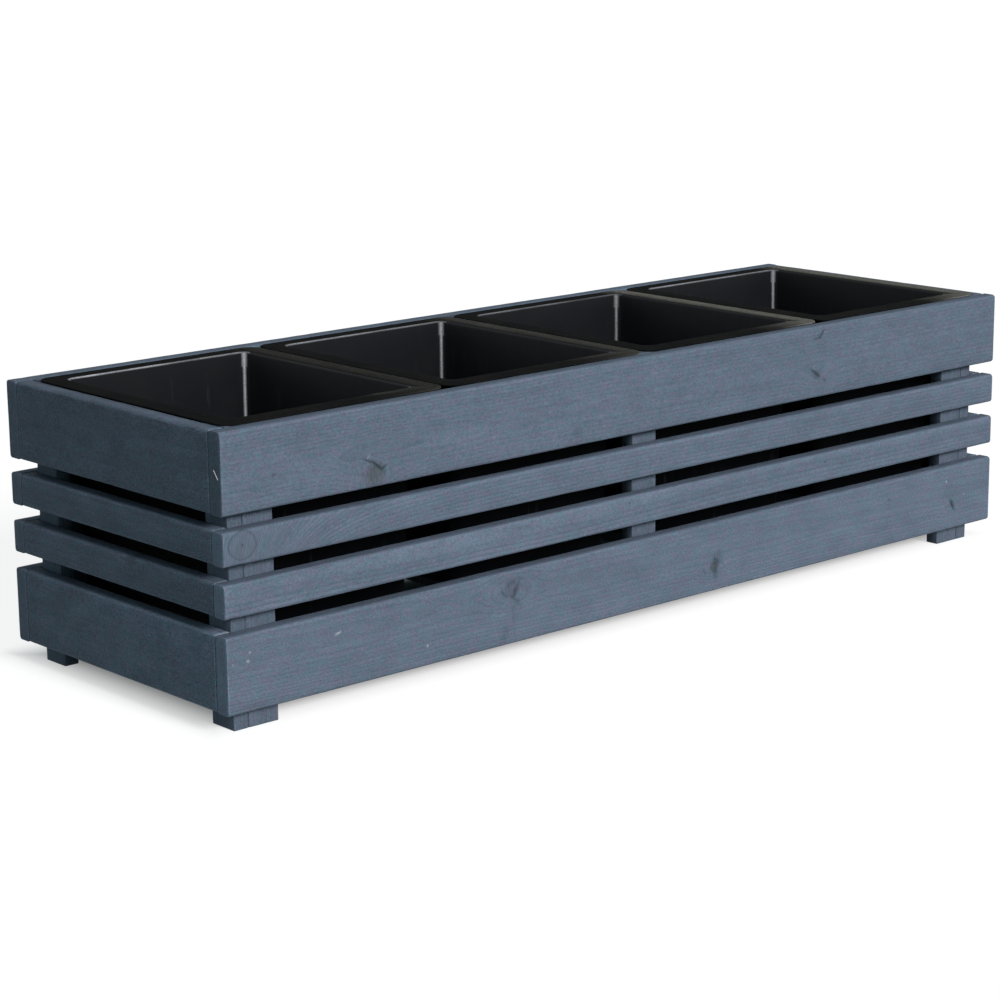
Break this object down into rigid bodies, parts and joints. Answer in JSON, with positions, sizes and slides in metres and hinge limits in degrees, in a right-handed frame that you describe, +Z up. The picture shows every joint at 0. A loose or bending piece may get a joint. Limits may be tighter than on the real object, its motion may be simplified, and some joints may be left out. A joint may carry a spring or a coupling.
{
  "type": "wooden planter box",
  "caption": "Long rectangular planter of blue-grey stained boards and slats on short batten feet, with black plastic liners that lift out of a row along its length.",
  "frame": {"origin": "on the ground, in the middle of the planter's footprint", "axes": "+X along the front from left to right, +Y from the front to the back, +Z up"},
  "size_m": [1.2, 0.39, 0.3161],
  "materials": {
    "stained_board": "planed softwood with a matte blue-grey stain, knots and grain showing faintly",
    "stained_batten": "sawn softwood with a matte blue-grey stain",
    "stained_floor_wood": "rough softwood with a matte blue-grey stain",
    "black_liner_plastic": "black vacuum-formed plastic with a soft sheen",
    "zinc_plated_steel": "bright zinc plating"
  },
  "bodies": {
    "frame": {"front_bottom_board": "stained_board", "front_lower_slat": "stained_board", "front_upper_slat": "stained_board", "front_top_board": "stained_board", "back_bottom_board": "stained_board", "back_lower_slat": "stained_board", "back_upper_slat": "stained_board", "back_top_board": "stained_board", "left_bottom_board": "stained_board", "left_lower_slat": "stained_board", "left_upper_slat": "stained_board", "left_top_board": "stained_board", "right_bottom_board": "stained_board", "right_lower_slat": "stained_board", "right_upper_slat": "stained_board", "right_top_board": "stained_board", "front_left_end_batten": "stained_batten", "front_left_side_batten": "stained_batten", "front_right_end_batten": "stained_batten", "front_right_side_batten": "stained_batten", "back_left_end_batten": "stained_batten", "back_left_side_batten": "stained_batten", "back_right_end_batten": "stained_batten", "back_right_side_batten": "stained_batten", "front_centre_batten": "stained_batten", "back_centre_batten": "stained_batten", "front_floor_ledger": "stained_floor_wood", "back_floor_ledger": "stained_floor_wood", "floor_slat_1": "stained_floor_wood", "floor_slat_2": "stained_floor_wood", "floor_slat_3": "stained_floor_wood", "floor_slat_4": "stained_floor_wood", "floor_slat_5": "stained_floor_wood", "floor_slat_6": "stained_floor_wood", "floor_slat_7": "stained_floor_wood", "floor_slat_8": "stained_floor_wood", "front_left_corner_screw_upper": "zinc_plated_steel", "front_left_corner_screw_lower": "zinc_plated_steel", "front_right_corner_screw_upper": "zinc_plated_steel", "front_right_corner_screw_lower": "zinc_plated_steel", "back_left_corner_screw_upper": "zinc_plated_steel", "back_left_corner_screw_lower": "zinc_plated_steel", "back_right_corner_screw_upper": "zinc_plated_steel", "back_right_corner_screw_lower": "zinc_plated_steel", "front_ledger_screw_1": "zinc_plated_steel", "front_ledger_screw_2": "zinc_plated_steel", "front_ledger_screw_3": "zinc_plated_steel", "back_ledger_screw_1": "zinc_plated_steel", "back_ledger_screw_2": "zinc_plated_steel", "back_ledger_screw_3": "zinc_plated_steel", "end_grain_staple": "zinc_plated_steel"},
    "liner_1": {"liner_1": "black_liner_plastic"},
    "liner_2": {"liner_2": "black_liner_plastic"},
    "liner_3": {"liner_3": "black_liner_plastic"},
    "liner_4": {"liner_4": "black_liner_plastic"}
  },
  "joints": [
    {"name": "liner_1_lift", "type": "slide", "parent": "frame", "child": "liner_1", "axis": [0, 0, 1], "range_m": [0, 0.24]},
    {"name": "liner_2_lift", "type": "slide", "parent": "frame", "child": "liner_2", "axis": [0, 0, 1], "range_m": [0, 0.24]},
    {"name": "liner_3_lift", "type": "slide", "parent": "frame", "child": "liner_3", "axis": [0, 0, 1], "range_m": [0, 0.24]},
    {"name": "liner_4_lift", "type": "slide", "parent": "frame", "child": "liner_4", "axis": [0, 0, 1], "range_m": [0, 0.24]}
  ]
}
